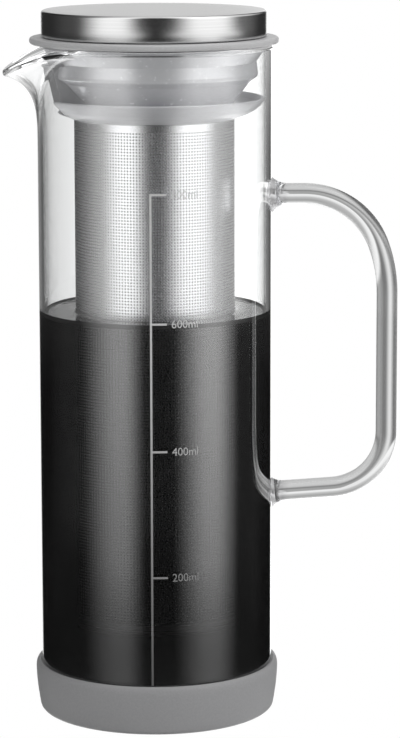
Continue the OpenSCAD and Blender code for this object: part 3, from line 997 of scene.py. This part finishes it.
# what a rod's glass shows: light against the angle from +Y towards +X, and against the height
rodAround = ((-90, 0.7), (-70, 0.45), (-50, 0.22), (-38, 0.15), (-27, 0.16), (-19, 0.42), (-12, 0.74),
             (-6, 0.74), (-1, 0.52), (4, 0.26), (9, 0.17), (15, 0.15), (20, 0.25), (30, 0.34),
             (42, 0.38), (55, 0.28), (75, 0.26), (90, 0.45))
rodUpward = ((-90, 0.5), (-55, 0.5), (-42, 0.56), (-30, 0.62), (-22, 0.56), (-17, 0.22), (-13, 0.3),
             (-8, 0.5), (-3, 0.95), (2, 0.82), (7, 0.54), (13, 0.45), (19, 0.36), (26, 0.46),
             (38, 0.72), (60, 0.95), (90, 1.0))


def boxNode(t, az, lo, softLo, hi, softHi, level):
    return timesNode(t, windowNode(t, az, lo - softLo, lo + softLo, hi - softHi, hi + softHi), level)


# light levels at given angles, joined by straight lines
def curveNode(t, value, points):
    lo, hi = points[0][0], points[-1][0]
    span = t.nodes.new("ShaderNodeMapRange")
    setInputs(span, From_Min=lo, From_Max=hi)
    t.links.new(value, span.inputs["Value"])
    ramp = t.nodes.new("ShaderNodeValToRGB")
    stops = ramp.color_ramp.elements
    for angle, _ in points[1:-1]:
        stops.new((angle - lo) / (hi - lo))
    for stop, (_, level) in zip(stops, points):
        stop.color = (level, level, level, 1)
    t.links.new(span.outputs["Result"], ramp.inputs[0])
    return ramp.outputs[0]


def frontLight(t, az, el):
    st = studio
    tails = sumNode(t, boxNode(t, az, *st["leftTail"]), boxNode(t, az, *st["rightTail"]))
    high, middle, low = [sumNode(t, boxNode(t, az, *row["left"]), boxNode(t, az, *row["right"]),
                                 timesNode(t, tails, row["tail"]))
                         for row in (st["high"], st["middle"], st["low"])]
    light = mixFloat(t, smoothRange(t, el, *st["lowMiddle"]), low, middle)
    light = mixFloat(t, smoothRange(t, el, *st["middleHigh"]), light, high)
    return timesNode(t, light, smoothRange(t, el, *st["fade"], st["fadeLevel"], 1.0))


# light from under and from above, which upright walls don't mirror to the camera
def fillLight(t, az, el):
    st = studio
    away = mathNode(t, "ABSOLUTE", az)
    sides = timesNode(t, windowNode(t, away, *st["underSide"]), st["underLevel"])
    under = timesNode(t, windowNode(t, el, *st["under"]), sumNode(t, sides, st["underAll"]))
    over = smoothRange(t, el, *st["over"], 0.0, st["overLevel"])
    right = timesNode(t, windowNode(t, az, *st["fill"]), st["fillLevel"],
                      windowNode(t, el, *st["fillUp"]))
    return sumNode(t, under, over, right)


# what a ray meets that has passed one thickness of glass only: a rod, or the wall's edge
def rodLight(t, x, y, el):
    st = studio
    turn = timesNode(t, mathNode(t, "ARCTAN2", x, y), toDeg)
    away = mathNode(t, "ABSOLUTE", mathNode(t, "SUBTRACT", el, st["rodCentre"]))
    light = mixFloat(t, smoothRange(t, away, *st["rodTurn"]), curveNode(t, turn, rodAround),
                     curveNode(t, el, rodUpward))
    # the outer edge of the handle's upper bend shows the dark between the boxes
    bend = timesNode(t, smoothRange(t, x, *st["bendX"], 1.0, 0.0),
                     smoothRange(t, el, *st["bendUp"], 1.0, 0.0))
    light = mixFloat(t, bend, light, st["bendLevel"])
    inner = timesNode(t, smoothRange(t, x, *st["innerX"]), smoothRange(t, el, *st["innerUp"]))
    return mixFloat(t, inner, light, st["innerLevel"])


def studioWorld():
    st = studio
    world = bpy.data.worlds.new("studio")
    scene.world = world
    world.use_nodes = True
    t = world.node_tree
    t.nodes.clear()
    out = t.nodes.new("ShaderNodeOutputWorld")
    bg = t.nodes.new("ShaderNodeBackground")
    setInputs(bg, Color=white)
    co = t.nodes.new("ShaderNodeTexCoord")
    xyz = t.nodes.new("ShaderNodeSeparateXYZ")
    t.links.new(co.outputs["Generated"], xyz.inputs[0])
    x, y, z = xyz.outputs
    az = timesNode(t, mathNode(t, "ARCTAN2", x, timesNode(t, y, -1.0)), toDeg)
    el = timesNode(t, mathNode(t, "ARCSINE", z), toDeg)
    behind = smoothRange(t, mathNode(t, "ABSOLUTE", az), *st["back"])
    back = timesNode(t, behind, smoothRange(t, x, *st["backX"], *st["backLevels"]),
                     smoothRange(t, el, *st["backUp"], 1.0, st["backHigh"]))
    total = sumNode(t, frontLight(t, az, el), fillLight(t, az, el), back,
                    smoothRange(t, el, *st["dark"], *st["darkLevels"]))
    # such a ray also meets the white sheet straight behind, and the boxes in front
    straight = timesNode(t, behind, windowNode(t, x, *st["straightX"]),
                         windowNode(t, el, *st["straightUp"]))
    rod = mixFloat(t, straight, rodLight(t, x, y, el), st["straightLevel"])
    front = timesNode(t, total, smoothRange(t, y, *st["frontY"], 1.0, 0.0))
    rod = mathNode(t, "MAXIMUM", rod, front)
    # a ray that has passed many walls without a reflection meets a little light everywhere
    path = t.nodes.new("ShaderNodeLightPath")
    passes = path.outputs["Transmission Depth"]
    single = timesNode(t, mathNode(t, "GREATER_THAN", passes, 0.5),
                       mathNode(t, "LESS_THAN", passes, st["rodPasses"]))
    deep = timesNode(t, mathNode(t, "GREATER_THAN", passes, st["rodPasses"]),
                     mathNode(t, "LESS_THAN", path.outputs["Glossy Depth"], 0.5), st["deepLevel"])
    total = mixFloat(t, single, mathNode(t, "MAXIMUM", total, deep), rod)
    total = mixFloat(t, path.outputs["Is Camera Ray"], total, 1.0)
    t.links.new(total, bg.inputs["Strength"])
    t.links.new(bg.outputs[0], out.inputs["Surface"])
    world.cycles.sampling_method = "MANUAL"
    world.cycles.sample_map_resolution = 1024


studioWorld()

# ---------- camera ----------
# place in metres, angles in degrees; the focal length and the picture's height are in pixels
view = dict(pos=(0.0154, -1.09725, 0.31261), pitch=9.97, roll=-0.13, focal=3212.57, tall=738.0,
            sensor=36.0)
cam = bpy.data.cameras.new("photoCamera")
camObj = bpy.data.objects.new("photoCamera", cam)
scene.collection.objects.link(camObj)
cam.sensor_fit = "VERTICAL"
cam.sensor_height = view["sensor"]
cam.lens = view["focal"] / view["tall"] * view["sensor"]
cam.clip_start = 0.01
cam.clip_end = 20.0
pitch = Matrix.Rotation(radians(90 - view["pitch"]), 4, "X")
roll = Matrix.Rotation(radians(view["roll"]), 4, "Z")
camObj.matrix_world = Matrix.Translation(view["pos"]) @ pitch @ roll
scene.camera = camObj

scene.view_settings.view_transform = "Standard"
scene.view_settings.look = "None"
tracing = dict(max_bounces=28, transmission_bounces=20, transparent_max_bounces=12,
               glossy_bounces=16, diffuse_bounces=3, volume_bounces=0, caustics_reflective=True,
               caustics_refractive=True, blur_glossy=0.2, sample_clamp_indirect=6.0,
               use_denoising=True)
for key, value in tracing.items():
    setattr(scene.cycles, key, value)
print("studio and camera made")
